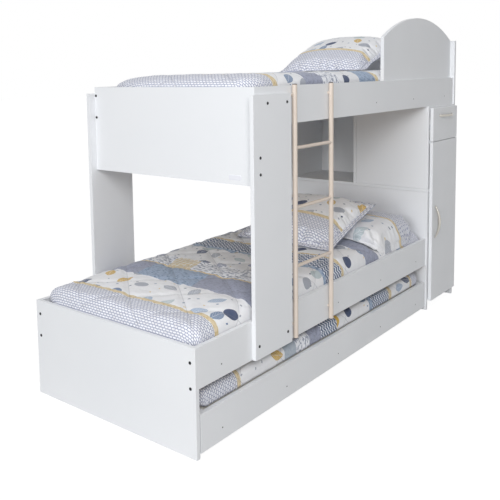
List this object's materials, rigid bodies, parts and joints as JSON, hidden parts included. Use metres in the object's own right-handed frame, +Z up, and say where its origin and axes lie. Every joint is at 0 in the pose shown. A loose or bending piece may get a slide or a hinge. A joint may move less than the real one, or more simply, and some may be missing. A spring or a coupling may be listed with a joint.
{
  "type": "triple bunk bed",
  "caption": "Bunk bed with a pull-out castored trundle, a tube ladder, an arched guard and a head-end cabinet holding a drawer, a hinged door and an open niche.",
  "frame": {"origin": "middle of the footprint's bounding box, on the floor", "axes": "+X from the lower foot panel to the head panel, +Y from the ladder side to the wall side, +Z up"},
  "size_m": [2.3148, 0.946, 1.5819],
  "materials": {
    "white_laminate": "satin white laminate on board",
    "drawer_board": "white foil on board",
    "pine": "planed pine",
    "ladder_tube": "cream powder coat",
    "satin_nickel": "satin nickel",
    "black_bolt": "black oxide",
    "zinc_steel": "zinc plated",
    "wheel_rubber": "matt rubber",
    "mattress_ticking": "woven ticking",
    "quilt_print": "printed cotton, quilted",
    "pillow_print": "printed cotton"
  },
  "bodies": {
    "frame": {"lower_foot_panel": "white_laminate", "lower_front_rail": "white_laminate", "lower_rear_rail": "white_laminate", "corner_blocks": "pine", "side_bearers": "pine", "lower_slats": "pine", "lower_mattress": "mattress_ticking", "lower_quilt": "quilt_print", "lower_head_pillow": "pillow_print", "lower_front_pillow": "pillow_print", "front_post": "white_laminate", "rear_post": "white_laminate", "upper_foot_panel": "white_laminate", "upper_front_rail": "white_laminate", "upper_rear_rail": "white_laminate", "upper_slats": "pine", "upper_mattress": "mattress_ticking", "upper_quilt": "quilt_print", "upper_pillow": "pillow_print", "arched_guard": "white_laminate", "head_panel": "white_laminate", "cabinet_lower_panel": "white_laminate", "cabinet_upper_panel": "white_laminate", "niche_divider": "white_laminate", "niche_shelf": "white_laminate", "cabinet_back": "white_laminate", "cabinet_boards": "white_laminate", "drawer_tracks": "zinc_steel", "hinge_frame_leaves": "zinc_steel", "hinge_pins": "zinc_steel", "left_stile": "ladder_tube", "right_stile": "ladder_tube", "ladder_rungs": "ladder_tube", "ladder_spacers": "ladder_tube", "frame_bolts": "black_bolt", "frame_nuts": "zinc_steel", "frame_screws": "zinc_steel"},
    "trundle": {"trundle_front": "white_laminate", "trundle_rear": "white_laminate", "trundle_ends": "white_laminate", "trundle_bearers": "pine", "trundle_slats": "pine", "trundle_screws": "zinc_steel", "castor_forks": "zinc_steel", "trundle_mattress": "mattress_ticking", "trundle_quilt": "quilt_print"},
    "wheel_front_foot": {"castor_wheel_front_foot": "wheel_rubber"},
    "wheel_front_head": {"castor_wheel_front_head": "wheel_rubber"},
    "wheel_rear_foot": {"castor_wheel_rear_foot": "wheel_rubber"},
    "wheel_rear_head": {"castor_wheel_rear_head": "wheel_rubber"},
    "drawer": {"drawer_front": "white_laminate", "drawer_sides": "drawer_board", "drawer_back": "drawer_board", "drawer_bottom": "drawer_board", "drawer_slides": "zinc_steel", "drawer_handle": "satin_nickel"},
    "door": {"door_panel": "white_laminate", "door_handle": "satin_nickel", "hinge_door_leaves": "zinc_steel"}
  },
  "joints": [
    {"name": "trundle_pull", "type": "slide", "parent": "frame", "child": "trundle", "axis": [0, -1, 0], "range_m": [0, 0.75]},
    {"name": "wheel_front_foot_spin", "type": "hinge", "parent": "trundle", "child": "wheel_front_foot", "pos_m": [-0.953, -0.37545, 0.02], "axis": [1, 0, 0], "continuous": true},
    {"name": "wheel_front_head_spin", "type": "hinge", "parent": "trundle", "child": "wheel_front_head", "pos_m": [0.591, -0.37545, 0.02], "axis": [1, 0, 0], "continuous": true},
    {"name": "wheel_rear_foot_spin", "type": "hinge", "parent": "trundle", "child": "wheel_rear_foot", "pos_m": [-0.953, 0.34855, 0.02], "axis": [1, 0, 0], "continuous": true},
    {"name": "wheel_rear_head_spin", "type": "hinge", "parent": "trundle", "child": "wheel_rear_head", "pos_m": [0.591, 0.34855, 0.02], "axis": [1, 0, 0], "continuous": true},
    {"name": "drawer_pull", "type": "slide", "parent": "frame", "child": "drawer", "axis": [0, -1, 0], "range_m": [0, 0.3]},
    {"name": "door_swing", "type": "hinge", "parent": "frame", "child": "door", "pos_m": [1.13625, -0.4222, 0.487], "axis": [0, 0, 1], "range_deg": [0, 90]}
  ],
  "couplings": [
    {"joint": "wheel_front_foot_spin", "follows": "trundle_pull", "rad_per_m": 50},
    {"joint": "wheel_front_head_spin", "follows": "trundle_pull", "rad_per_m": 50},
    {"joint": "wheel_rear_foot_spin", "follows": "trundle_pull", "rad_per_m": 50},
    {"joint": "wheel_rear_head_spin", "follows": "trundle_pull", "rad_per_m": 50}
  ]
}
